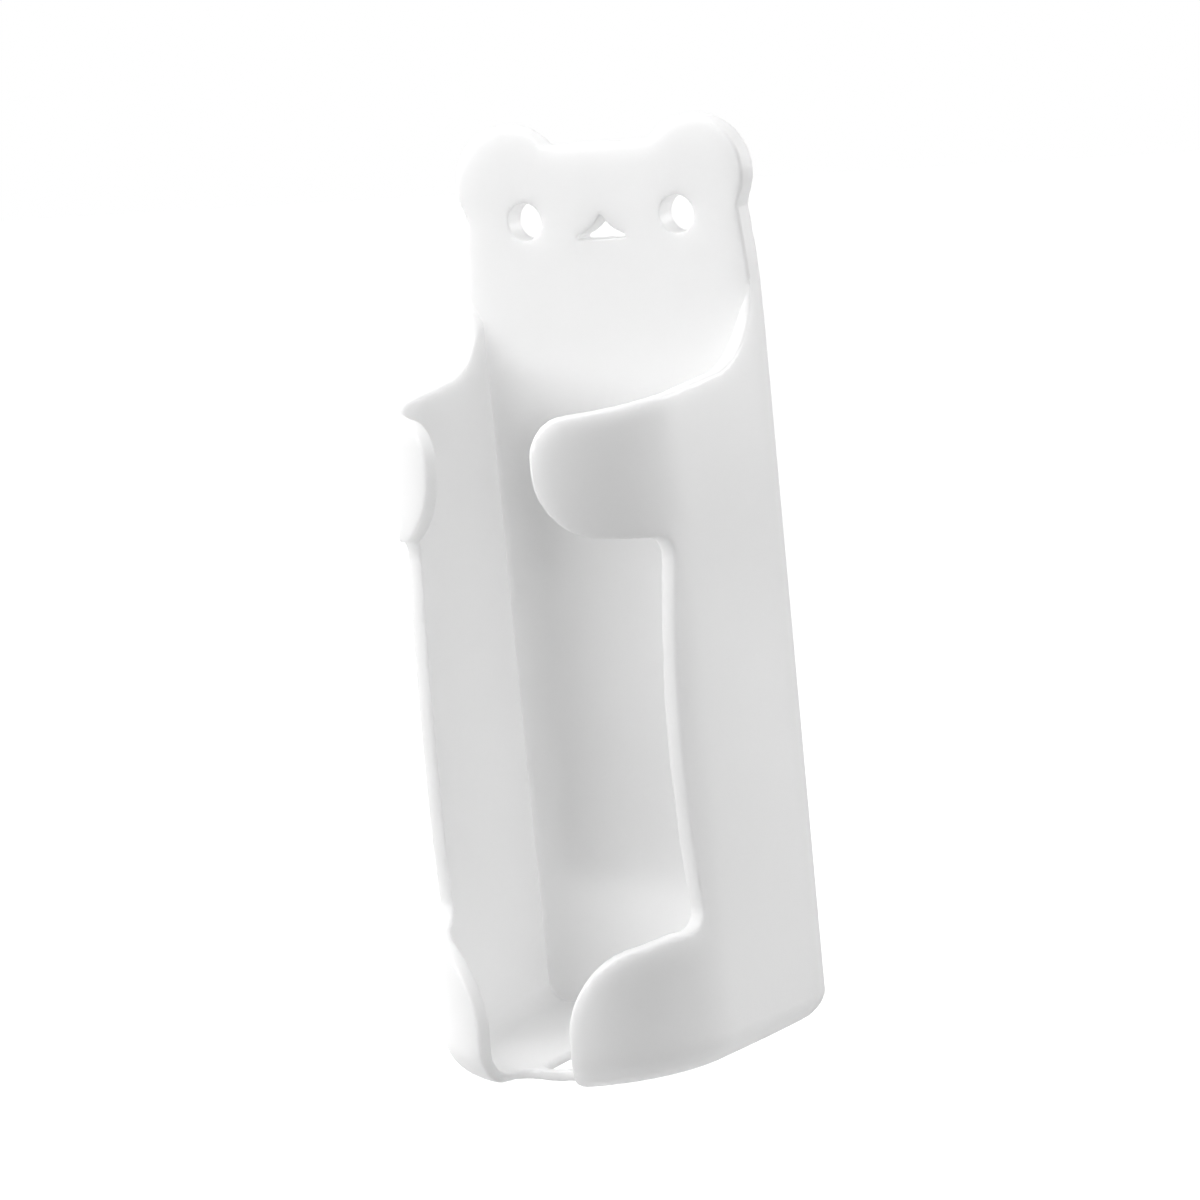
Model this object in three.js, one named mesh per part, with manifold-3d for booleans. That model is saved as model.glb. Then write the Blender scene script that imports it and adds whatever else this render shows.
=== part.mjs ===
import * as THREE from 'three';
import { mergeVertices } from 'three/addons/utils/BufferGeometryUtils.js';
import Module from 'manifold-3d';

const wasm = await Module();
wasm.setup();

// Driving dimensions in millimetres. While it is drawn the plate's back is Y = 0, the front faces -Y and the
// underside is Z = 0. Depths count forward from the plate's back. At the end everything moves so that the middle
// of the pad's wall side is the origin.
const plate = { half: 20.8, thickness: 3.4, edgeRound: 0.5, curveSteps: 10 };

// The head is set out downward from the level brow, and the neck from the middle of the ears.
const head = { browHeight: 114.3, cheekDrop: 24, neckIn: 0.9, notchRound: 1 };
const ear = { across: 13.6, drop: 4.5, neckDrop: 3.6, radius: 7.4 };
const eye = { across: 11.15, drop: 9.5, radius: 2.6 };
const nose = { half: 3.5, tipDrop: 9.4, rise: 2.8, cornerRound: 0.5 };

const wall = { thickness: 2, draftStart: 4.4, draft: THREE.MathUtils.degToRad(2.8), bendDepth: 23, root: 1 };
const lean = { perHeight: 0.00082, pivotHeight: 40.9 };
const foot = { frontRound: 5.2, sideRound: 3.5, backCorner: 5 };
const floor = { thickness: 1.4, fillet: 3, frontCut: 5.4, bar: 1, slotHalf: 2.9, slotLength: 18.6 };

// Lengths along an arm's face count round the half-round front from its middle line.
// The slot edge is set out forward from the half-round's axis.
const shoulder = { height: 95.3, radius: 10, slope: THREE.MathUtils.degToRad(4.8) };
const upperArm = { tip: 7.85, height: 14.7, topRound: 4, lowRound: 8 };
const lowerArm = { tip: 6.6, height: 18.3, curveFrom: 8.7, curveTo: 21, fall: 0.8, lowRound: 1.8 };
const slotEdge = { topAhead: 4.5, topRound: 3, bowAhead: 8, bottomAhead: 5.6, bottomRound: 2.8 };

const pad = { width: 30, height: 62, thickness: 1, cornerRound: 4, middleHeight: 48.9 };

const roundSteps = 10;
const bendSteps = 32;
const footSteps = 6;
const far = 60;
const quarter = Math.PI / 2;

function toSolid(geometry) {
  geometry.deleteAttribute('normal');
  geometry.deleteAttribute('uv');
  const merged = mergeVertices(geometry, 1e-5);
  return new wasm.Manifold(new wasm.Mesh({
    numProp: 3,
    vertProperties: new Float32Array(merged.attributes.position.array),
    triVerts: new Uint32Array(merged.index.array),
  }));
}

function toMesh(name, solid, material) {
  const { vertProperties, triVerts, numProp } = solid.getMesh();
  const geometry = new THREE.BufferGeometry();
  const points = new Float32Array((vertProperties.length / numProp) * 3);
  for (let i = 0; i < points.length / 3; i += 1) {
    points.set(vertProperties.subarray(i * numProp, i * numProp + 3), i * 3);
  }
  geometry.setAttribute('position', new THREE.BufferAttribute(points, 3));
  geometry.setIndex(new THREE.BufferAttribute(new Uint32Array(triVerts), 1));
  geometry.translate(0, -pad.thickness, -pad.middleHeight);
  geometry.computeVertexNormals();
  const mesh = new THREE.Mesh(geometry, material);
  mesh.name = name;
  return mesh;
}

// A shape drawn in X and height, given body from depth `from` to depth `to`.
function fromFront(shape, from, to, options = {}) {
  const geometry = new THREE.ExtrudeGeometry(shape, {
    depth: to - from, bevelEnabled: false, curveSegments: roundSteps, ...options,
  });
  return geometry.rotateX(quarter).translate(0, -from, 0);
}

// A shape drawn in depth and height, given body right across the holder.
function fromSide(shape) {
  const geometry = new THREE.ExtrudeGeometry(shape, {
    depth: far, bevelEnabled: false, curveSegments: roundSteps,
  });
  const turn = new THREE.Matrix4().makeBasis(
    new THREE.Vector3(0, -1, 0), new THREE.Vector3(0, 0, 1), new THREE.Vector3(-1, 0, 0));
  return geometry.applyMatrix4(turn).translate(far / 2, 0, 0);
}

// The channel is a little deeper at its foot than at its shoulders.
function leanScale(height) {
  return 1 + lean.perHeight * (lean.pivotHeight - height);
}

function leanBack(geometry) {
  const points = geometry.attributes.position;
  for (let i = 0; i < points.count; i += 1) {
    const beyond = -points.getY(i) - plate.thickness;
    if (beyond <= 0) continue;
    points.setY(i, -plate.thickness - beyond * leanScale(points.getZ(i)));
  }
  return geometry;
}

// The half-round front of the channel: its radius and the depth of its axis.
const bendHalf = plate.half - Math.tan(wall.draft) * (wall.bendDepth - wall.draftStart);
const bendRadius = bendHalf / Math.cos(wall.draft);
const axisDepth = wall.bendDepth - bendRadius * Math.sin(wall.draft);
const innerRadius = bendRadius - wall.thickness;

// Plan of the channel, `inset` inside its outer face: straight at the plate, drafted walls, half-round front.
function channelPlan(inset, backDepth) {
  const back = -backDepth;
  const half = plate.half - inset;
  const plan = new THREE.Shape();
  plan.moveTo(-half, back);
  plan.lineTo(-half, -wall.draftStart);
  plan.absarc(0, -axisDepth, bendRadius - inset, Math.PI + wall.draft, 2 * Math.PI - wall.draft, false);
  plan.lineTo(half, -wall.draftStart);
  plan.lineTo(half, back);
  plan.closePath();
  return plan;
}

// The lower edge is rounded, and most at the front: the radius grows with the depth.
function footRound(depth) {
  const share = THREE.MathUtils.smoothstep(depth, wall.draftStart, axisDepth + bendRadius);
  return THREE.MathUtils.lerp(foot.sideRound, foot.frontRound, share);
}

// A closed body through rings of points that match one to one, listed upward and capped at both ends.
function loft(rings) {
  const count = rings[0].length;
  const last = (rings.length - 1) * count;
  const index = [];
  for (let start = 0; start < last; start += count) {
    for (let i = 0; i < count; i += 1) {
      const a = start + i;
      const b = start + (i + 1) % count;
      index.push(a, b, b + count, a, b + count, a + count);
    }
  }
  const outline = rings[0].map((p) => new THREE.Vector2(p.x, p.y));
  for (const [a, b, c] of THREE.ShapeUtils.triangulateShape(outline, [])) {
    index.push(a, c, b, last + a, last + b, last + c);
  }
  return new THREE.BufferGeometry().setFromPoints(rings.flat()).setIndex(index);
}

// The channel's outside, filled: its plan carried up from the rounded lower edge to the shoulder.
function channelOutside() {
  const rootDepth = plate.thickness - wall.root;
  const edge = channelPlan(0, rootDepth).getPoints(bendSteps).slice(0, -1);
  const oneInside = channelPlan(1, rootDepth).getPoints(bendSteps).slice(0, -1);
  const rings = [];
  for (let step = footSteps; step >= 0; step -= 1) {
    const turn = (quarter * step) / footSteps;
    rings.push(edge.map((p, i) => {
      const radius = footRound(-p.y);
      const at = p.clone().lerp(oneInside[i], radius * (1 - Math.cos(turn)));
      return new THREE.Vector3(at.x, at.y, radius * (1 - Math.sin(turn)));
    }));
  }
  rings.push(edge.map((p) => new THREE.Vector3(p.x, p.y, shoulder.height)));
  return leanBack(loft(rings));
}

// A shape drawn on the unrolled front, given body outward from a distance off the half-round's axis.
function roundFront(shape, from) {
  const geometry = new THREE.ExtrudeGeometry(shape, {
    depth: far, bevelEnabled: false, curveSegments: roundSteps,
  });
  const points = geometry.attributes.position;
  for (let i = 0; i < points.count; i += 1) {
    const angle = points.getX(i) / bendRadius;
    const reach = from + points.getZ(i);
    points.setXYZ(i, reach * Math.sin(angle), -axisDepth - reach * Math.cos(angle), points.getY(i));
  }
  return leanBack(geometry);
}

function upright(plan, from, to, options = {}) {
  const geometry = new THREE.ExtrudeGeometry(plan, {
    depth: to - from, bevelEnabled: false, curveSegments: bendSteps, ...options,
  });
  return geometry.translate(0, 0, from);
}

// A closed shape from its right half, which is drawn upward.
function mirrored(right, steps) {
  const side = right.getPoints(steps);
  return new THREE.Shape([...side, ...side.map((p) => new THREE.Vector2(-p.x, p.y)).reverse()]);
}

// Front view of the plate: round lower corners, straight sides, cheeks that close in to the neck, round ears,
// level brow.
function plateOutline() {
  const earHeight = head.browHeight - ear.drop;
  const neckHeight = earHeight - ear.neckDrop;
  const cheekHeight = head.browHeight - head.cheekDrop;
  const neckHalf = plate.half - head.neckIn;
  const notchTurn = head.notchRound / ear.radius;
  const browRise = Math.asin(ear.drop / ear.radius);
  const earStart = notchTurn - Math.asin(ear.neckDrop / ear.radius);
  const earEnd = Math.PI - browRise - notchTurn;
  const browX = ear.across - ear.radius * Math.cos(browRise);
  const right = new THREE.Path();
  right.absarc(plate.half - foot.sideRound, foot.sideRound, foot.sideRound, -quarter, 0, false);
  right.lineTo(plate.half, cheekHeight);
  right.quadraticCurveTo(plate.half, (cheekHeight + neckHeight) / 2, neckHalf, neckHeight - head.notchRound);
  right.quadraticCurveTo(neckHalf - head.notchRound / 4, neckHeight,
    ear.across + ear.radius * Math.cos(earStart), earHeight + ear.radius * Math.sin(earStart));
  right.absarc(ear.across, earHeight, ear.radius, earStart, earEnd, false);
  right.quadraticCurveTo(browX, head.browHeight, browX - head.notchRound, head.browHeight);
  const shape = mirrored(right, plate.curveSteps);
  for (const side of [-1, 1]) {
    const hole = new THREE.Path();
    hole.absarc(side * eye.across, head.browHeight - eye.drop, eye.radius, 0, 2 * Math.PI, true);
    shape.holes.push(hole);
  }
  shape.holes.push(noseOutline());
  return shape;
}

// A low triangle with hollow sides and soft corners, point up.
function noseOutline() {
  const { half, rise, cornerRound } = nose;
  const tipHeight = head.browHeight - nose.tipDrop;
  const baseHeight = tipHeight - rise;
  const hollow = 0.42;
  const middle = baseHeight + rise * hollow;
  const path = new THREE.Path();
  path.moveTo(-half + cornerRound, baseHeight);
  path.quadraticCurveTo(-half, baseHeight, -half, baseHeight + cornerRound);
  path.quadraticCurveTo(-half * hollow, middle, -cornerRound, tipHeight - cornerRound * 0.4);
  path.quadraticCurveTo(0, tipHeight, cornerRound, tipHeight - cornerRound * 0.4);
  path.quadraticCurveTo(half * hollow, middle, half, baseHeight + cornerRound);
  path.quadraticCurveTo(half, baseHeight, half - cornerRound, baseHeight);
  path.closePath();
  return path;
}

// Side view of what lies above the walls: a hollow sweep down from the plate, then a top edge that falls forward.
const sweepEnd = {
  depth: plate.thickness + shoulder.radius * (1 - Math.sin(shoulder.slope)),
  height: shoulder.height - shoulder.radius * Math.cos(shoulder.slope),
};

function topEdge(depth) {
  return sweepEnd.height - Math.tan(shoulder.slope) * (depth - sweepEnd.depth);
}

function aboveWalls() {
  const shape = new THREE.Shape();
  shape.moveTo(0, shoulder.height);
  shape.absarc(plate.thickness + shoulder.radius, shoulder.height, shoulder.radius,
    Math.PI, 3 * quarter - shoulder.slope, false);
  shape.lineTo(far, topEdge(far));
  shape.lineTo(far, 2 * far);
  shape.lineTo(0, 2 * far);
  shape.closePath();
  return shape;
}

// Depth of the outer face at a length round the front, leaned for a height.
function faceDepth(along, height) {
  const beyond = axisDepth + bendRadius * Math.cos(along / bendRadius) - plate.thickness;
  return plate.thickness + beyond * leanScale(height);
}

const tipRoundEnd = upperArm.tip + upperArm.topRound;
const armTop = topEdge(faceDepth(tipRoundEnd, sweepEnd.height));
const windowTop = armTop - upperArm.height;
const windowBottom = lowerArm.height;

// Side view of the open window between the arms: a bowed slot edge behind, level top and bottom.
function windowOutline() {
  const { topRound, bottomRound } = slotEdge;
  const topDepth = axisDepth + slotEdge.topAhead;
  const bottomDepth = axisDepth + slotEdge.bottomAhead;
  const shape = new THREE.Shape();
  shape.moveTo(far, windowTop);
  shape.lineTo(topDepth + topRound, windowTop);
  shape.absarc(topDepth + topRound, windowTop - topRound, topRound, quarter, Math.PI, false);
  shape.quadraticCurveTo(axisDepth + slotEdge.bowAhead, (windowTop + windowBottom) / 2,
    bottomDepth, windowBottom + bottomRound);
  shape.absarc(bottomDepth + bottomRound, windowBottom + bottomRound, bottomRound, Math.PI, 3 * quarter, false);
  shape.lineTo(far, windowBottom);
  shape.closePath();
  return shape;
}

// The gap between the arm tips, unrolled: it flares over the lower arm and rounds both corners of the upper one.
function tipGap() {
  const { tip, curveFrom, curveTo, fall } = lowerArm;
  const lowRound = Math.min(upperArm.lowRound, upperArm.height - upperArm.topRound);
  const right = new THREE.Path();
  right.moveTo(tip, floor.thickness + floor.fillet);
  right.lineTo(tip, curveFrom);
  right.bezierCurveTo(tip, windowBottom - 2 * fall, (tip + 2 * curveTo) / 3, windowBottom - fall,
    curveTo, windowBottom);
  right.lineTo(curveTo, (windowTop + windowBottom) / 2);
  right.lineTo(upperArm.tip + lowRound, windowTop);
  right.absarc(upperArm.tip + lowRound, windowTop + lowRound, lowRound, -quarter, -Math.PI, true);
  right.absarc(tipRoundEnd, armTop - upperArm.topRound, upperArm.topRound, Math.PI, quarter, true);
  right.lineTo(tipRoundEnd, 2 * far);
  return mirrored(right, roundSteps);
}

// The foot of that gap, which runs on through the rounded edge and some way into the floor.
function footGap() {
  const { tip, lowRound } = lowerArm;
  const right = new THREE.Path();
  right.moveTo(tip + lowRound, -lowRound);
  right.absarc(tip + lowRound, lowRound, lowRound, -quarter, -Math.PI, true);
  right.lineTo(tip, lowerArm.curveFrom);
  return mirrored(right, roundSteps);
}

// What is cut from the square edge where back and underside meet.
function backCorner() {
  const r = foot.backCorner;
  const shape = new THREE.Shape();
  shape.moveTo(-r, -r);
  shape.lineTo(r, -r);
  shape.absarc(r, r, r, -quarter, -Math.PI, true);
  shape.lineTo(-r, r);
  shape.closePath();
  return shape;
}

// The drain slot stops a bar's width behind the floor's front edge, which follows the half-round.
function slotOutline() {
  const { frontCut, slotHalf, slotLength, bar } = floor;
  const beyond = axisDepth + innerRadius - frontCut - plate.thickness;
  const slotFront = plate.thickness + beyond * leanScale(0) - bar;
  const shape = new THREE.Shape();
  shape.absarc(0, slotLength - slotHalf - slotFront, slotHalf, 0, Math.PI, false);
  shape.absarc(0, slotHalf - slotFront, slotHalf, Math.PI, 2 * Math.PI, false);
  shape.closePath();
  return shape;
}

function roundedRectangle(width, height, radius) {
  const x = width / 2 - radius;
  const z = height / 2 - radius;
  const shape = new THREE.Shape();
  shape.absarc(x, z, radius, 0, quarter, false);
  shape.absarc(-x, z, radius, quarter, Math.PI, false);
  shape.absarc(-x, -z, radius, Math.PI, 3 * quarter, false);
  shape.absarc(x, -z, radius, 3 * quarter, 4 * quarter, false);
  shape.closePath();
  return shape;
}

function holderBody() {
  const plateSolid = toSolid(fromFront(plateOutline(), plate.edgeRound, plate.thickness - plate.edgeRound, {
    bevelEnabled: true, bevelThickness: plate.edgeRound, bevelSize: plate.edgeRound,
    bevelOffset: -plate.edgeRound, bevelSegments: 2, curveSegments: plate.curveSteps,
  }));
  const hollowPlan = channelPlan(wall.thickness, -floor.fillet);
  const hollow = toSolid(leanBack(upright(hollowPlan, floor.thickness + floor.fillet, 2 * far, {
    bevelEnabled: true, bevelThickness: floor.fillet, bevelSize: floor.fillet,
    bevelOffset: -floor.fillet, bevelSegments: 4,
  })));
  const channel = toSolid(channelOutside()).subtract(hollow)
    .subtract(toSolid(fromSide(aboveWalls())))
    .subtract(toSolid(fromSide(windowOutline())))
    .subtract(toSolid(roundFront(tipGap(), innerRadius - floor.fillet)))
    .subtract(toSolid(roundFront(footGap(), innerRadius - floor.frontCut)))
    .subtract(toSolid(upright(slotOutline(), -far, far)));
  return plateSolid.add(channel).subtract(toSolid(fromSide(backCorner())));
}

function adhesivePad() {
  const outline = roundedRectangle(pad.width, pad.height, pad.cornerRound);
  return toSolid(fromFront(outline, -pad.thickness, 0).translate(0, 0, pad.middleHeight));
}

const whitePlastic = new THREE.MeshStandardMaterial({ color: 0xf1f1ef, roughness: 0.42, metalness: 0 });
const foam = new THREE.MeshStandardMaterial({ color: 0xd9dbd8, roughness: 0.9, metalness: 0 });

const group = new THREE.Group();
group.name = 'electric_toothbrush_holder';
group.add(toMesh('holder_body', holderBody(), whitePlastic));
group.add(toMesh('adhesive_pad', adhesivePad(), foam));

export default group;
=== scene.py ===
import math

import bmesh
import bpy
import numpy as np
from mathutils import Matrix, Vector


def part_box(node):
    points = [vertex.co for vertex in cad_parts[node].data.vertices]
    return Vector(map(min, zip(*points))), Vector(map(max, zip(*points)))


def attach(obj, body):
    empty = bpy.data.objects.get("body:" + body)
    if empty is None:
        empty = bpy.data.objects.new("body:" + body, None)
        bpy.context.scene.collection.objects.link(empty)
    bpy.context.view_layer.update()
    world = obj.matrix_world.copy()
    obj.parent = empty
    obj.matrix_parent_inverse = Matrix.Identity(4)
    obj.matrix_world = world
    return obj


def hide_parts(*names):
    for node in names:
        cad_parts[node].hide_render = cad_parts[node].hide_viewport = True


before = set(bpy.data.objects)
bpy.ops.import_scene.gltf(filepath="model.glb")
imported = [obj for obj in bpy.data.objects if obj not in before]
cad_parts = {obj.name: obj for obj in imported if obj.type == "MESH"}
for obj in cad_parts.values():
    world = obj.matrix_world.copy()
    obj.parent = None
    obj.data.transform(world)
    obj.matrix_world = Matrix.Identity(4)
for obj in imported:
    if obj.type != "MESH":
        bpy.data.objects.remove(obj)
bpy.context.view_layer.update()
scene = bpy.context.scene
scene.view_settings.view_transform = "Standard"

bodyLow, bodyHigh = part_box("holder_body")
padLow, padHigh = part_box("adhesive_pad")
mm = 0.001
tiny = 1e-9  # keeps a division off zero
print("frame loaded:", sorted(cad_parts))


# The moulding is worked in millimetres: x across, depth forward of the plate's back, z above the underside.
# A solid is a function that gives the distance to its surface, below zero inside.

# Overlap of two solids, its edge rounded: a quarter circle of radius r where both distances come near zero.
def roundMeet(a, b, r):
    return np.minimum(-r, np.maximum(a, b)) + np.hypot(np.maximum(a + r, 0), np.maximum(b + r, 0))


# Two solids fused, the inside corner filled with a quarter circle of radius r.
def roundJoin(a, b, r):
    return -roundMeet(-a, -b, r)


# Rises from 0 to 1 between two values, level at both ends.
def easeBetween(value, low, high):
    share = np.clip((value - low) / (high - low), 0, 1)
    return share * share * (3 - 2 * share)


plate = {"half": 20.8, "thickness": 3.4, "edgeRound": 0.5, "backCorner": 5.6}
head = {"brow": 114.3, "browRound": 6.0, "cheekDrop": 24.0, "neckDrop": 9.1, "neckIn": 0.9, "notchRound": 0.4,
        "holeRound": 0.22, "sideStop": 2.0}
ear = {"across": 13.6, "drop": 4.5, "radius": 7.4}
eye = {"across": 11.15, "drop": 9.5, "radius": 2.4}
nose = {"half": 3.5, "baseDrop": 12.2, "side": 6.04, "sideAcross": 5.23, "sideDrop": 5.9, "cornerRound": 0.3}


# Front view of the plate: round lower corners, straight sides drawn in as a square law to the neck, level
# brow, round ears. The second value is the distance to the sides alone.
def plateOutline(x, z):
    neckHeight = head["brow"] - head["neckDrop"]
    cheekHeight = head["brow"] - head["cheekDrop"]
    closing = np.clip((z - cheekHeight) / (neckHeight - cheekHeight), 0, 1)
    sides = np.abs(x) - plate["half"] + head["neckIn"] * closing**2
    ears = np.hypot(np.abs(x) - ear["across"], z - head["brow"] + ear["drop"]) - ear["radius"]
    block = roundMeet(roundMeet(sides, -z, foot["sideRound"]), z - head["brow"], head["browRound"])
    return roundJoin(block, ears, head["notchRound"]), sides


# Eyes are round. The nose stands on a level base, between and below the middles of two circles that hollow
# its sides.
def faceHoles(x, z):
    across = np.abs(x)
    eyes = np.hypot(across - eye["across"], z - head["brow"] + eye["drop"]) - eye["radius"]
    sideHeight = z - head["brow"] + nose["sideDrop"]
    right = nose["side"] - np.hypot(x - nose["sideAcross"], sideHeight)
    left = nose["side"] - np.hypot(x + nose["sideAcross"], sideHeight)
    base = head["brow"] - nose["baseDrop"] - z
    hollow = roundMeet(roundMeet(right, left, nose["cornerRound"]), base, nose["cornerRound"])
    hollow = np.maximum(roundMeet(hollow, across - nose["half"], nose["cornerRound"]), sideHeight)
    return np.minimum(eyes, hollow)


# The plate: its outline given a thickness and round edges, less the holes, whose edges are just broken.
def plateSolid(x, depth, z):
    outline, sides = plateOutline(x, z)
    half = plate["thickness"] / 2
    solid = roundMeet(outline, np.abs(depth - half) - half, plate["edgeRound"])
    return roundMeet(solid, -faceHoles(x, z), head["holeRound"]), sides


channel = {
    "wall": 2.0, "draft": math.radians(2.8), "draftStart": 4.4, "bend": 23.0, "root": 1.0,
    "lean": 0.00082, "leanPivot": 40.9, "rimRound": 0.35, "creaseRound": 0.1,
}
bendHalf = plate["half"] - math.tan(channel["draft"]) * (channel["bend"] - channel["draftStart"])
bendRadius = bendHalf / math.cos(channel["draft"])
axisDepth = channel["bend"] - bendRadius * math.sin(channel["draft"])


# Plan of the channel: drafted side lines, then a half circle about an upright axis.
# The second value is the length round the face from its middle line.
def channelPlan(x, depth):
    across = np.abs(x)
    ahead = depth - axisDepth
    turn = np.arctan2(ahead, across)
    past = depth - channel["bend"]
    line = (across - bendHalf) * math.cos(channel["draft"]) + past * math.sin(channel["draft"])
    onRound = turn > channel["draft"]
    plan = np.where(onRound, np.hypot(across, ahead) - bendRadius, line)
    straight = bendRadius * (math.pi / 2 - channel["draft"]) - past / math.cos(channel["draft"])
    along = np.where(onRound, bendRadius * (math.pi / 2 - turn), straight)
    return np.maximum(plan, across - plate["half"]), along


shoulder = {"height": 95.7, "radius": 10.0, "slope": math.radians(4.8), "fadeFrom": 1.0, "fade": 0.06,
            "taper": 7.0}
upperArm = {"tip": 7.6, "low": 67.6, "rootAlong": 23.0, "lowRise": 0.12, "topRound": 4.6, "lowRound": 8.0}
lowerArm = {"tip": 6.6, "high": 18.3, "fallFrom": 21.0, "fall": 0.16, "topRound": 8.6, "lowRound": 1.8}
slotEdge = {"top": 26.5, "bow": 30.0, "bottom": 27.6, "topHeight": 65.4, "bottomHeight": 21.1,
            "topRound": 3.0, "bottomRound": 2.8, "runOn": 0.3}


# The slot's upright edge, a parabola through its top and bottom depths that bows forward between them.
def slotDepth(z):
    t = (slotEdge["topHeight"] - z) / (slotEdge["topHeight"] - slotEdge["bottomHeight"])
    t = np.clip(t, -slotEdge["runOn"], 1 + slotEdge["runOn"])
    return (1 - t)**2 * slotEdge["top"] + 2 * t * (1 - t) * slotEdge["bow"] + t**2 * slotEdge["bottom"]


# What the walls cover, unrolled: a strip behind the bowed slot edge and two arms with rounded tips, under
# a top edge that sweeps down from the plate and then falls forward in a line. The sweep fades into the plate
# as a square law, from lower down on the wall's inner face than on its outer one. The upper arm's low edge
# rises and the lower arm's top edge falls in a line towards the tip.
def wallReach(plan, along, depth, z):
    sweepDepth = plate["thickness"] + shoulder["radius"] * (1 - math.sin(shoulder["slope"]))
    sweepHeight = shoulder["height"] - shoulder["radius"] * math.cos(shoulder["slope"])
    top = (z - sweepHeight) * math.cos(shoulder["slope"]) + (depth - sweepDepth) * math.sin(shoulder["slope"])
    low = upperArm["low"] + upperArm["lowRise"] * np.maximum(upperArm["rootAlong"] - along, 0)
    upper = roundMeet(upperArm["tip"] - along, low - z, upperArm["lowRound"])
    upper = roundMeet(upper, top, upperArm["topRound"])
    fallen = lowerArm["high"] - lowerArm["fall"] * np.maximum(lowerArm["fallFrom"] - along, 0)
    lower = roundMeet(lowerArm["tip"] - along, z - fallen, lowerArm["topRound"])
    lower = roundMeet(lower, -z, lowerArm["lowRound"])
    reach = roundJoin(depth - slotDepth(z), upper, slotEdge["topRound"])
    reach = roundJoin(reach, lower, slotEdge["bottomRound"])
    fadeFrom = shoulder["fadeFrom"] + shoulder["taper"] * np.clip(-plan / channel["wall"], 0, 1)
    fade = shoulder["fade"] * np.maximum(z - shoulder["height"] + fadeFrom, 0)**2
    sweep = roundJoin(depth - plate["thickness"] + fade, top, shoulder["radius"])
    return np.maximum(reach, sweep)


foot = {"frontRound": 5.2, "sideRound": 3.5, "floor": 1.4, "fillet": 3.0, "frontCut": 5.4, "notchRound": 1.8,
        "rimRound": 0.3, "rimFrom": 1.0, "rimTo": 6.0}
drain = {"half": 2.9, "bar": 1.0, "length": 18.6, "edgeRound": 0.3}
floorFront = bendRadius - channel["wall"] - foot["frontCut"]


# Plan of the drain: a slot with round ends, a bar's width behind the floor's front edge.
def drainPlan(x, depth):
    front = axisDepth + floorFront - drain["bar"]
    middle = front - drain["length"] / 2
    run = drain["length"] / 2 - drain["half"]
    return np.hypot(x, np.maximum(np.abs(depth - middle) - run, 0)) - drain["half"]


# The channel is a wall all round and a floor, joined by a fillet, inside an outer face whose lower edge is
# rounded, most at the front. Its depth ahead of the plate shrinks in a line with height, so it leans back.
# What the reach leaves open is cut away down to the floor's front edge, the corners of that notch are filled
# round, the drain is cut and every rim is rounded.
def traySolid(x, depth, z):
    lean = 1 + channel["lean"] * (channel["leanPivot"] - z)
    front = plate["thickness"]
    level = np.where(depth > front, front + (depth - front) / lean, depth)
    plan, along = channelPlan(x, level)
    growth = easeBetween(level, channel["draftStart"], axisDepth + bendRadius)
    outside = roundMeet(plan, -z, foot["sideRound"] + (foot["frontRound"] - foot["sideRound"]) * growth)
    outside = np.maximum(outside, front - channel["root"] - depth)
    ring = np.maximum(outside, -plan - channel["wall"])
    slab = np.maximum(outside, z - foot["floor"])
    tray = np.maximum(roundJoin(ring, slab, foot["fillet"]), outside)
    floorEdge = np.hypot(x, np.maximum(level - axisDepth, 0)) - floorFront
    keep = roundJoin(wallReach(plan, along, depth, z), floorEdge, foot["notchRound"])
    rimGrowth = easeBetween(z, foot["rimFrom"], foot["rimTo"])
    rim = foot["rimRound"] + (channel["rimRound"] - foot["rimRound"]) * rimGrowth
    return roundMeet(roundMeet(tray, keep, rim), -drainPlan(x, level), drain["edgeRound"])


# The whole moulding: plate and channel fused, kept within the plate's sides below the ears, the lower back
# corner rounded.
def mouldingDistance(points):
    x, depth, z = points
    flat, sides = plateSolid(x, depth, z)
    body = roundJoin(flat, traySolid(x, depth, z), channel["creaseRound"])
    belowEars = z < head["brow"] - head["neckDrop"] - head["sideStop"]
    body = np.maximum(body, np.where(belowEars, sides, -plate["half"]))
    r = plate["backCorner"]
    return np.maximum(body, np.hypot(np.maximum(r - depth, 0), np.maximum(r - z, 0)) - r)


# How finely the surface is found. Steps and the probe are in millimetres.
lattice = {"step": 0.52, "margin": 1.5, "settle": 4, "probe": 0.03, "hold": 0.05, "inward": 0.3,
           "leastSlope": 0.25}


# Slope of the distance at each point, by differences either way along each axis.
def distanceSlope(points):
    slope = np.empty_like(points)
    for axis in range(3):
        step = np.zeros((3, 1))
        step[axis] = lattice["probe"]
        ahead, behind = mouldingDistance(points + step), mouldingDistance(points - step)
        slope[axis] = (ahead - behind) / (2 * lattice["probe"])
    return slope


def unit(vectors):
    return vectors / np.maximum(np.linalg.norm(vectors, axis=0), tiny)


# Where the zero surface cuts the lattice's edges along one axis: the points, the four cells round each cut
# edge, and whether the edge's low end is inside.
def edgeCuts(values, axis, low):
    start = tuple(slice(0, -1) if k == axis else slice(None) for k in range(3))
    end = tuple(slice(1, None) if k == axis else slice(None) for k in range(3))
    place = np.argwhere((values[start] < 0) != (values[end] < 0))
    before, after = values[start][tuple(place.T)], values[end][tuple(place.T)]
    where = place.astype(float)
    where[:, axis] += before / (before - after)
    first, second = [k for k in range(3) if k != axis]
    around = []
    for i, j in ((1, 1), (0, 1), (0, 0), (1, 0)):
        cell = place.copy()
        cell[:, first] -= i
        cell[:, second] -= j
        around.append(tuple(cell.T))
    return low[:, None] + lattice["step"] * where.T, around, before < 0


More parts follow.
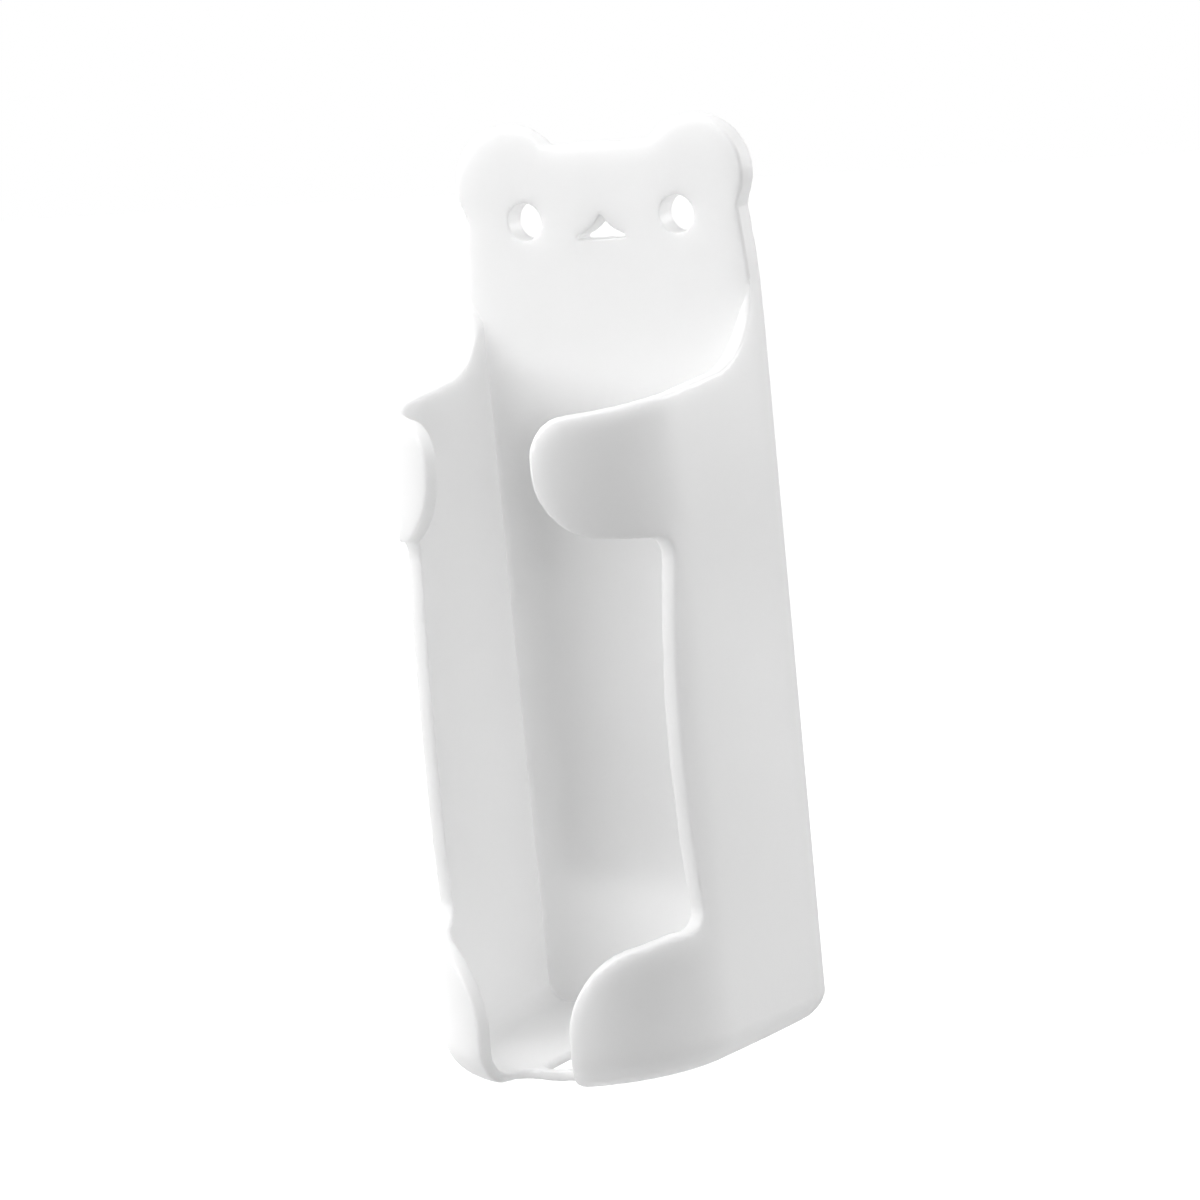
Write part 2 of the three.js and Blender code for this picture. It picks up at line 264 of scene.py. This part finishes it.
# The zero surface of values on a lattice: one point in every cell it passes through and one four-sided face
# round every lattice edge it cuts. Each point stands where the planes through its cell's cuts come nearest to
# meeting, which keeps the rims in line, held lightly to the mean of the cuts.
def zeroSurface(values, low):
    cuts = [edgeCuts(values, axis, low) for axis in range(3)]
    used = np.zeros([n - 1 for n in values.shape], bool)
    for _, around, _ in cuts:
        for cell in around:
            used[cell] = True
    count = int(used.sum())
    number = np.full(used.shape, -1)
    number[used] = np.arange(count)
    hits, middle = np.zeros(count), np.zeros((3, count))
    pull, aim = np.zeros((3, 3, count)), np.zeros((3, count))
    faces = []
    for axis, (where, around, lowInside) in enumerate(cuts):
        normal = unit(distanceSlope(where))
        level = (normal * where).sum(0)
        quad = np.stack([number[cell] for cell in around], 1)
        for corner in quad.T:
            hits += np.bincount(corner, minlength=count)
            for i in range(3):
                middle[i] += np.bincount(corner, where[i], count)
                aim[i] += np.bincount(corner, normal[i] * level, count)
                for j in range(3):
                    pull[i, j] += np.bincount(corner, normal[i] * normal[j], count)
        turned = lowInside != (axis == 1)  # faces point outwards
        quad[turned] = quad[turned][:, ::-1]
        faces.append(quad)
    middle /= hits
    hold = lattice["hold"] * np.eye(3)[:, :, None]
    left = (pull + hold).transpose(2, 0, 1)
    right = (aim + lattice["hold"] * middle).T[:, :, None]
    points = np.linalg.solve(left, right)[:, :, 0].T
    points = middle + np.clip(points - middle, -lattice["step"], lattice["step"])
    return points, np.concatenate(faces)


# Draws points on to the true surface, down the slope of the distance.
def settle(points):
    reach = lattice["step"] / 2
    for _ in range(lattice["settle"]):
        slope = distanceSlope(points)
        move = mouldingDistance(points) * slope / np.maximum((slope**2).sum(0), lattice["leastSlope"])
        points = points - np.clip(move, -reach, reach)
    return points


# Shading at each face's corners: the slope of the distance a little way in from them, so that creases stay
# clear.
def cornerNormals(points, faces):
    corners = points[:, faces]
    inward = corners + lattice["inward"] * (corners.mean(2, keepdims=True) - corners)
    return unit(distanceSlope(inward.reshape(3, -1)))


def newMesh(name, points, faces):
    mesh = bpy.data.meshes.new(name)
    sides = faces.shape[1]
    mesh.vertices.add(len(points))
    mesh.vertices.foreach_set("co", np.ascontiguousarray(points, np.float32).ravel())
    mesh.loops.add(faces.size)
    mesh.loops.foreach_set("vertex_index", np.ascontiguousarray(faces, np.int32).ravel())
    mesh.polygons.add(len(faces))
    mesh.polygons.foreach_set("loop_start", np.arange(0, faces.size, sides, dtype=np.int32))
    mesh.polygons.foreach_set("loop_total", np.full(len(faces), sides, np.int32))
    mesh.polygons.foreach_set("use_smooth", np.ones(len(faces), bool))
    mesh.update(calc_edges=True)
    mesh.validate()
    piece = bpy.data.objects.new(name, mesh)
    scene.collection.objects.link(piece)
    return piece


# From the moulding's own axes to the frame: depth runs towards -Y from the plate's back, z up from the foot.
def toFrame(points):
    x, depth, z = points
    return np.stack([x * mm, bodyHigh.y - depth * mm, bodyLow.z + z * mm], 1)


def makeMoulding():
    size = (bodyHigh - bodyLow) / mm
    step, margin = lattice["step"], lattice["margin"]
    low = np.array([-size.x / 2 - margin, -margin, -margin])
    count = np.ceil((np.array([size.x, size.y, size.z]) + 2 * margin) / step).astype(int) + 1
    lines = [low[k] + step * np.arange(count[k]) for k in range(3)]
    net = np.meshgrid(*lines, indexing="ij")
    values = mouldingDistance(np.stack([a.ravel() for a in net])).reshape(count)
    points, faces = zeroSurface(values, low)
    points = settle(points)
    piece = newMesh("holder_moulding", toFrame(points), faces)
    normals = cornerNormals(points, faces) * np.array([[1], [-1], [1]])  # depth runs against Y
    piece.data.normals_split_custom_set(normals.T.tolist())
    print("moulding:", points.shape[1], "points,", 2 * len(faces), "triangles")
    return piece


# The foam pad: a rounded rectangle carried up an edge profile that bulges between two flat faces.
# The profile falls off as the square of the height from the middle, and turns in at the very edges.
pad = {"cornerRound": 4.0, "around": 96, "edgeRings": 9, "faceRings": 6, "bulge": 0.12, "edgeSoft": 0.15,
       "edgePower": 8, "merge": 1e-6, "sharp": math.radians(40)}


def makePad():
    half = (padHigh - padLow) / (2 * mm)
    middle = (padHigh + padLow) / 2
    around = pad["around"]
    turn = (np.arange(around) + 0.5) * 2 * np.pi / around
    rise = np.linspace(-1, 1, pad["edgeRings"])
    edge = -pad["bulge"] * rise**2 - pad["edgeSoft"] * np.abs(rise)**pad["edgePower"]
    shrink = np.linspace(1, 0, pad["faceRings"] + 1)[1:]
    ringScale = np.concatenate([shrink[::-1], np.ones(len(rise)), shrink])[:, None]
    ringEdge = np.concatenate([np.full(len(shrink), edge[0]), edge, np.full(len(shrink), edge[-1])])
    ringRise = np.concatenate([np.full(len(shrink), -1), rise, np.full(len(shrink), 1)])[:, None]
    radius = pad["cornerRound"] + ringEdge[:, None]
    straightX = np.sign(np.cos(turn)) * (half.x - pad["cornerRound"])
    straightZ = np.sign(np.sin(turn)) * (half.z - pad["cornerRound"])
    x = middle.x + (straightX + radius * np.cos(turn)) * ringScale * mm
    z = middle.z + (straightZ + radius * np.sin(turn)) * ringScale * mm
    y = np.broadcast_to(middle.y + ringRise * half.y * mm, x.shape)
    points = np.stack([x, y, z], -1).reshape(-1, 3)
    row, column = np.meshgrid(np.arange(len(ringScale) - 1), np.arange(around), indexing="ij")
    after = (column + 1) % around
    quads = np.stack([row * around + column, (row + 1) * around + column,
                      (row + 1) * around + after, row * around + after], -1)
    piece = newMesh("foam_pad", points, quads.reshape(-1, 4))
    shape = bmesh.new()
    shape.from_mesh(piece.data)
    bmesh.ops.remove_doubles(shape, verts=shape.verts, dist=pad["merge"])  # each face's middle to one point
    bmesh.ops.recalc_face_normals(shape, faces=shape.faces)
    shape.to_mesh(piece.data)
    shape.free()
    piece.data.set_sharp_from_angle(angle=pad["sharp"])
    print("foam pad:", len(piece.data.vertices), "points")
    return piece


def addNode(tree, kind, inputs=None, **settings):
    node = tree.nodes.new(kind)
    for name, value in settings.items():
        setattr(node, name, value)
    for name, value in (inputs or {}).items():
        if isinstance(value, bpy.types.NodeSocket):
            tree.links.new(value, node.inputs[name])
        else:
            node.inputs[name].default_value = value
    return node


# Shared finish: broad clouding of the moulding or foam, and a fine grain, both noise from 0 to 1 that keeps
# mostly between its low and high.
noise = {"broadDetail": 3.0, "broadRough": 0.55, "fineDetail": 2.0, "fineRough": 0.6,
         "low": 0.25, "high": 0.75}


def grainGroup():
    tree = bpy.data.node_groups.new("surfaceGrain", "ShaderNodeTree")
    for name, kind in (("Vector", "NodeSocketVector"), ("Broad Scale", "NodeSocketFloat"),
                       ("Fine Scale", "NodeSocketFloat")):
        tree.interface.new_socket(name, in_out="INPUT", socket_type=kind)
    for name in ("Clouding", "Grain"):
        tree.interface.new_socket(name, in_out="OUTPUT", socket_type="NodeSocketFloat")
    enter = tree.nodes.new("NodeGroupInput")
    leave = tree.nodes.new("NodeGroupOutput")
    broad = addNode(tree, "ShaderNodeTexNoise", {
        "Vector": enter.outputs["Vector"], "Scale": enter.outputs["Broad Scale"],
        "Detail": noise["broadDetail"], "Roughness": noise["broadRough"]})
    fine = addNode(tree, "ShaderNodeTexNoise", {
        "Vector": enter.outputs["Vector"], "Scale": enter.outputs["Fine Scale"],
        "Detail": noise["fineDetail"], "Roughness": noise["fineRough"]})
    tree.links.new(broad.outputs["Fac"], leave.inputs["Clouding"])
    tree.links.new(fine.outputs["Fac"], leave.inputs["Grain"])
    return tree


def startMaterial(name):
    material = bpy.data.materials.new(name)
    material.use_nodes = True
    tree = material.node_tree
    return material, tree, tree.nodes["Principled BSDF"]


def placeGrain(tree, grain, finish):
    place = tree.nodes.new("ShaderNodeTexCoord")
    node = tree.nodes.new("ShaderNodeGroup")
    node.node_tree = grain
    tree.links.new(place.outputs["Object"], node.inputs["Vector"])
    node.inputs["Broad Scale"].default_value = finish["cloudScale"]
    node.inputs["Fine Scale"].default_value = finish["grainScale"]
    return place, node


# Carries the noise's usual range over to another.
def spread(tree, value, low, high):
    node = addNode(tree, "ShaderNodeMapRange", {
        "Value": value, "From Min": noise["low"], "From Max": noise["high"], "To Min": low, "To Max": high})
    return node.outputs["Result"]


def mixColours(tree, share, first, second):
    node = addNode(tree, "ShaderNodeMix", {"Factor": share}, data_type="RGBA")
    node.inputs["A"].default_value = first
    node.inputs["B"].default_value = second
    return node.outputs["Result"]


# Light scatters below the surface, alike in all colours.
def letLightThrough(shader, finish):
    shader.inputs["Subsurface Weight"].default_value = finish["scatter"]
    shader.inputs["Subsurface Radius"].default_value = (1, 1, 1)
    shader.inputs["Subsurface Scale"].default_value = finish["scatterReach"]


# Satin white moulding: faint clouding of the colour, sheen that wavers with it, orange-peel grain under
# a millimetre. Thin walls let light through, so it scatters a little way below the surface.
satin = {"pale": (0.94, 0.94, 0.94, 1), "deep": (0.922, 0.922, 0.922, 1), "cloudScale": 55.0,
         "grainScale": 1500.0, "grainHeight": 0.000012, "roughLow": 0.36, "roughHigh": 0.46, "ior": 1.49,
         "scatter": 1.0, "scatterReach": 0.006}


def satinPlastic(grain):
    material, tree, shader = startMaterial("satin_white_plastic")
    _, surface = placeGrain(tree, grain, satin)
    clouding = surface.outputs["Clouding"]
    tint = mixColours(tree, spread(tree, clouding, 0, 1), satin["deep"], satin["pale"])
    rough = spread(tree, clouding, satin["roughLow"], satin["roughHigh"])
    bump = addNode(tree, "ShaderNodeBump", {
        "Height": surface.outputs["Grain"], "Distance": satin["grainHeight"]})
    tree.links.new(tint, shader.inputs["Base Color"])
    tree.links.new(rough, shader.inputs["Roughness"])
    tree.links.new(bump.outputs["Normal"], shader.inputs["Normal"])
    shader.inputs["IOR"].default_value = satin["ior"]
    letLightThrough(shader, satin)
    return material


# Closed-cell foam: small rounded cells, darker between them, on a softly clouded white. It is a millimetre
# thick, so light comes through it.
foam = {"pale": (0.9, 0.905, 0.9, 1), "deep": (0.8, 0.81, 0.8, 1), "cloudScale": 120.0, "grainScale": 2600.0,
        "cellScale": 2600.0, "cellHeight": 0.00006, "rough": 0.88, "scatter": 1.0, "scatterReach": 0.004}


def foamSkin(grain):
    material, tree, shader = startMaterial("closed_cell_foam")
    place, surface = placeGrain(tree, grain, foam)
    cells = addNode(tree, "ShaderNodeTexVoronoi", {
        "Vector": place.outputs["Object"], "Scale": foam["cellScale"]})
    shade = addNode(tree, "ShaderNodeMath", {0: cells.outputs["Distance"], 1: surface.outputs["Clouding"]},
                    operation="MULTIPLY")
    tint = mixColours(tree, shade.outputs["Value"], foam["pale"], foam["deep"])
    bump = addNode(tree, "ShaderNodeBump", {
        "Height": cells.outputs["Distance"], "Distance": foam["cellHeight"]}, invert=True)
    tree.links.new(tint, shader.inputs["Base Color"])
    tree.links.new(bump.outputs["Normal"], shader.inputs["Normal"])
    shader.inputs["Roughness"].default_value = foam["rough"]
    letLightThrough(shader, foam)
    return material


surfaceGrain = grainGroup()
moulding = makeMoulding()
moulding.data.materials.append(satinPlastic(surfaceGrain))
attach(moulding, "root")
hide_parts("holder_body")

foamPad = makePad()
foamPad.data.materials.append(foamSkin(surfaceGrain))
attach(foamPad, "root")
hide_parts("adhesive_pad")
print("pieces dressed")


# The camera stands off the aim by a turn to the right and a rise, and is rolled. The image is square.
view = {"turn": math.radians(30.0), "rise": math.radians(8.7307), "roll": math.radians(5.5145),
        "away": 0.602867, "aim": Vector((0.001374, -0.016, 0.008525)), "sensor": 36.0, "focalPixels": 4756.64,
        "imagePixels": 1200, "nearest": 0.01}


# Towards a place that is turned to the right of the front and raised.
def direction(turn, rise):
    return Vector((math.sin(turn) * math.cos(rise), -math.cos(turn) * math.cos(rise), math.sin(rise)))


def makeCamera():
    back = direction(view["turn"], view["rise"])
    level = Vector((math.cos(view["turn"]), math.sin(view["turn"]), 0))
    up = back.cross(level)
    right = level * math.cos(view["roll"]) - up * math.sin(view["roll"])
    top = level * math.sin(view["roll"]) + up * math.cos(view["roll"])
    data = bpy.data.cameras.new("product_camera")
    data.sensor_width = view["sensor"]
    data.lens = view["sensor"] * view["focalPixels"] / view["imagePixels"]
    data.clip_start = view["nearest"]
    camera = bpy.data.objects.new("product_camera", data)
    axes = Matrix((right, top, back)).transposed().to_4x4()
    camera.matrix_world = Matrix.Translation(view["aim"] + back * view["away"]) @ axes
    scene.collection.objects.link(camera)
    scene.camera = camera


# Round softboxes, each aimed at the middle of the holder from a turn and a rise in degrees, all as far away.
lampAway = 0.9
softboxes = {
    "key_left": {"turn": -50, "rise": 15, "size": 0.5, "power": 2.3},
    "high_left": {"turn": -60, "rise": 65, "size": 0.55, "power": 3.5},
    "front_fill": {"turn": -10, "rise": 15, "size": 0.7, "power": 2.75},
    "overhead": {"turn": 0, "rise": 85, "size": 0.55, "power": 3.9},
    "side_left": {"turn": -90, "rise": 15, "size": 0.55, "power": 0.6},
    "behind_left": {"turn": -120, "rise": 20, "size": 0.55, "power": 2.9},
    "behind_right": {"turn": 135, "rise": 15, "size": 0.55, "power": 4.4},
}


def makeLights():
    for name, box in softboxes.items():
        data = bpy.data.lights.new(name, "AREA")
        data.shape = "DISK"
        data.size = box["size"]
        data.energy = box["power"]
        lamp = bpy.data.objects.new(name, data)
        away = direction(math.radians(box["turn"]), math.radians(box["rise"]))
        lamp.location = view["aim"] + away * lampAway
        lamp.rotation_euler = away.to_track_quat("Z", "Y").to_euler()
        scene.collection.objects.link(lamp)


# Studio room: white where it is looked at or mirrored, nearly dark where it would light the holder. The
# floor's own glow, seen only, grows with the distance from the holder, so that the far floor meets the white
# room. Near and far are each a distance and the glow there.
room = {"light": (0.03, 0.03, 0.03, 1), "seen": (1, 1, 1, 1), "floorDrop": 0.12, "floorHalf": 3.0,
        "floorColour": (0.4, 0.4, 0.4, 1), "floorRough": 0.9, "glowNear": (0.2, 0.6), "glowFar": (0.6, 1.0)}


def seenRays(tree):
    path = tree.nodes.new("ShaderNodeLightPath")
    seen = path.outputs["Is Camera Ray"]
    for kind in ("Is Glossy Ray", "Is Transmission Ray"):
        either = addNode(tree, "ShaderNodeMath", {0: seen, 1: path.outputs[kind]}, operation="MAXIMUM")
        seen = either.outputs["Value"]
    return seen


def makeWorld():
    world = bpy.data.worlds.new("studio")
    scene.world = world
    world.use_nodes = True
    tree = world.node_tree
    shade = mixColours(tree, seenRays(tree), room["light"], room["seen"])
    tree.links.new(shade, tree.nodes["Background"].inputs["Color"])


def makeFloor():
    s = room["floorHalf"]
    height = bodyLow.z - room["floorDrop"]
    corners = np.array([[-s, -s, height], [s, -s, height], [s, s, height], [-s, s, height]])
    floor = newMesh("studio_floor", corners, np.array([[0, 1, 2, 3]]))
    material, tree, shader = startMaterial("pale_floor")
    shader.inputs["Base Color"].default_value = room["floorColour"]
    shader.inputs["Roughness"].default_value = room["floorRough"]
    shader.inputs["Emission Color"].default_value = room["seen"]
    place = tree.nodes.new("ShaderNodeTexCoord")
    away = addNode(tree, "ShaderNodeVectorMath", {0: place.outputs["Object"]}, operation="LENGTH")
    glow = addNode(tree, "ShaderNodeMapRange", {
        "Value": away.outputs["Value"], "From Min": room["glowNear"][0], "To Min": room["glowNear"][1],
        "From Max": room["glowFar"][0], "To Max": room["glowFar"][1]}, interpolation_type="SMOOTHSTEP")
    strength = addNode(tree, "ShaderNodeMath", {0: seenRays(tree), 1: glow.outputs["Result"]},
                       operation="MULTIPLY")
    tree.links.new(strength.outputs["Value"], shader.inputs["Emission Strength"])
    floor.data.materials.append(material)


makeCamera()
makeLights()
makeWorld()
makeFloor()
print("studio set")
